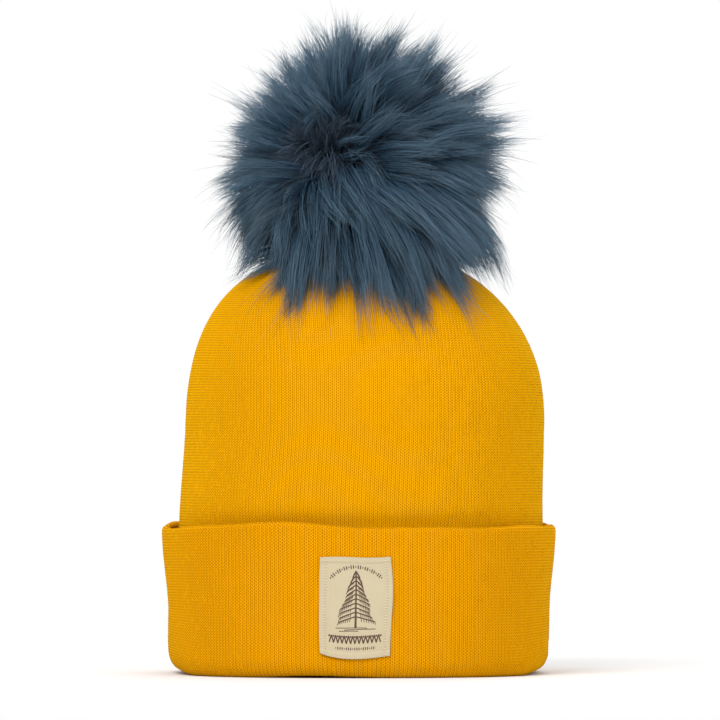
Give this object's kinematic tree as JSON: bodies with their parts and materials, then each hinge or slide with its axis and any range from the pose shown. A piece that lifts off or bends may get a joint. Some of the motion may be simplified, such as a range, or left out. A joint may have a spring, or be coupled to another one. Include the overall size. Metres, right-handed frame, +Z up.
{
  "type": "knit beanie",
  "caption": "Double-layer knit beanie with a turned-up cuff, a sewn label and a faux-fur pompom on a press stud that spins, leans and pulls off.",
  "frame": {"origin": "centre of the cuff's lower rim, on the ground that the hat stands on", "axes": "+Z up through the crown and the pompom; the front, with the label, faces -Y; +X to the right when seen from the front"},
  "size_m": [0.1918, 0.2187, 0.318],
  "materials": {
    "yarn": "matte",
    "seam_thread": "matte",
    "label_cloth": "matte",
    "care_cloth": "satin",
    "label_thread": "matte",
    "felt": "matte",
    "snap_metal": "satin",
    "disc_plastic": "matte",
    "fur_cloth": "matte",
    "stuffing": "matte",
    "fur_hair": "satin"
  },
  "bodies": {
    "hat": {"outer_shell": "yarn", "lining": "yarn", "cuff_face": "yarn", "cuff_backing": "yarn", "shell_dart_seam_front": "seam_thread", "shell_dart_seam_back": "seam_thread", "shell_dart_seam_left": "seam_thread", "shell_dart_seam_right": "seam_thread", "lining_dart_seam_front_left": "seam_thread", "lining_dart_seam_front_right": "seam_thread", "lining_dart_seam_back_left": "seam_thread", "lining_dart_seam_back_right": "seam_thread", "front_label": "label_cloth", "label_thread_left": "label_thread", "label_thread_right": "label_thread", "care_label_thread": "label_thread", "crown_reinforcement": "felt", "snap_post": "snap_metal", "snap_socket": "snap_metal"},
    "spring_ring": {"snap_ring": "snap_metal"},
    "snap_base": {"snap_stud": "snap_metal", "snap_stud_cap": "snap_metal", "pompom_base_disc": "disc_plastic"},
    "pompom": {"fur_backing": "fur_cloth", "pompom_stuffing": "stuffing", "gathering_thread": "seam_thread", "fur_pile": "fur_hair"},
    "care_tag": {"care_label": "care_cloth"}
  },
  "joints": [
    {"name": "pompom_spin", "type": "hinge", "parent": "hat", "child": "spring_ring", "pos_m": [0, 0, 0.2111], "axis": [0, 0, 1], "continuous": true},
    {"name": "pompom_pull_off", "type": "slide", "parent": "spring_ring", "child": "snap_base", "axis": [0, 0, 1], "range_m": [0, 0.08], "deforming": ["snap_ring"]},
    {"name": "pompom_lean", "type": "hinge", "parent": "snap_base", "child": "pompom", "pos_m": [0, 0, 0.2146], "axis": [0, 1, 0], "range_deg": [-10, 10], "stiffness_Nm_per_rad": 0.2},
    {"name": "care_label_flap", "type": "hinge", "parent": "hat", "child": "care_tag", "pos_m": [0, 0.09496, 0.056], "axis": [-1, 0, 0], "range_deg": [0, 100]}
  ]
}
